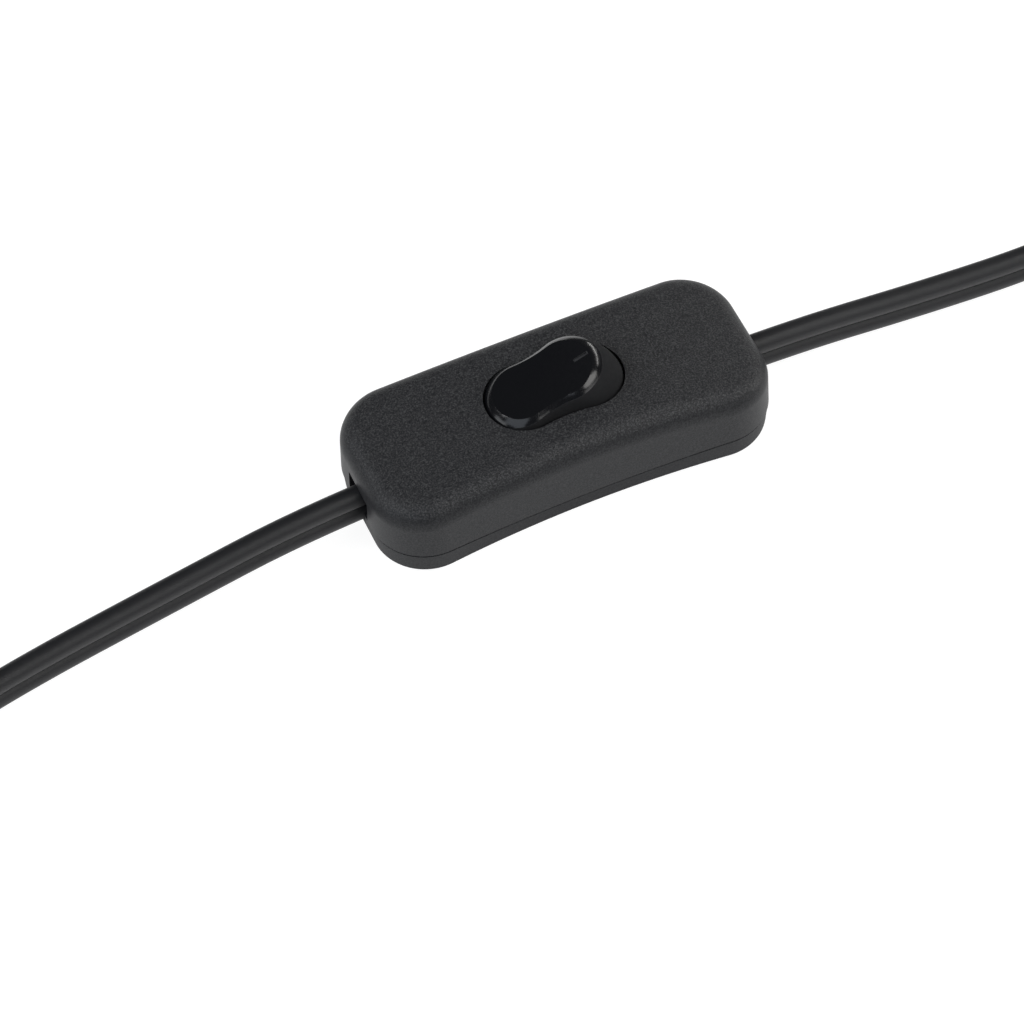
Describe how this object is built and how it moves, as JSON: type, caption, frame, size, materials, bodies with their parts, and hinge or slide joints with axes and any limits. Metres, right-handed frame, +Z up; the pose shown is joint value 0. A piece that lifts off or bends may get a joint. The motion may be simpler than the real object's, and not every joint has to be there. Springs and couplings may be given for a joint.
{
  "type": "inline cord switch",
  "caption": "Waisted inline rocker switch on a flat twin lamp cord, with split shell, see-saw contact, terminals, plug and stripped lamp end.",
  "frame": {"origin": "under the middle of the housing, on the surface that it rests on", "axes": "+X along the cord towards the lamp, +Y across, +Z up out of the rocker"},
  "size_m": [0.453, 0.0362, 0.0191],
  "materials": {
    "housing": "fine spark-eroded matt black",
    "rocker": "polished black",
    "cord_pvc": "satin black",
    "plug_plastic": "satin black",
    "tie_plastic": "ribbed matt black",
    "inner_plastic": "natural nylon",
    "brass": "stamped",
    "silver_contact": "satin silver alloy",
    "steel": "zinc plated",
    "spring_steel": "drawn wire",
    "copper": "bare strands",
    "blade_metal": "nickel-tinted"
  },
  "bodies": {
    "housing": {"base_shell": "housing", "top_cover": "housing", "housing_screws": "steel", "fixed_contact": "silver_contact", "switched_terminal": "brass", "common_terminal": "brass", "neutral_link": "brass", "terminal_screws": "steel", "left_live_core": "cord_pvc", "left_neutral_core": "cord_pvc", "right_live_core": "cord_pvc", "right_neutral_core": "cord_pvc", "core_ends": "copper", "left_cord": "cord_pvc", "right_cord": "cord_pvc", "left_hank": "cord_pvc", "left_hank_tie": "tie_plastic", "right_hank": "cord_pvc", "right_hank_tie": "tie_plastic", "plug_lead": "cord_pvc", "plug_body": "plug_plastic", "plug_blades": "blade_metal", "lamp_lead": "cord_pvc", "lamp_cores": "cord_pvc", "lamp_ends": "copper"},
    "rocker": {"rocker_button": "rocker", "contact_spring": "spring_steel"},
    "plunger_body": {"plunger": "inner_plastic"},
    "lever_body": {"contact_lever": "brass", "moving_contact": "silver_contact"}
  },
  "joints": [
    {"name": "rocker_tilt", "type": "hinge", "parent": "housing", "child": "rocker", "pos_m": [0, 0, 0.01063], "axis": [0, 1, 0], "range_deg": [0, 32.6]},
    {"name": "lever_tilt", "type": "hinge", "parent": "housing", "child": "lever_body", "pos_m": [0, 0, 0.00405], "axis": [0, 1, 0], "range_deg": [-18, 0]},
    {"name": "plunger_slide", "type": "slide", "parent": "rocker", "child": "plunger_body", "axis": [-0.2807, 0, 0.9598], "range_m": [0, 0.0004], "stiffness_N_per_m": 250, "springref_m": -0.0015, "deforming": ["contact_spring"]}
  ],
  "couplings": [
    {"joint": "lever_tilt", "follows": "rocker_tilt", "ratio": -0.55215}
  ]
}
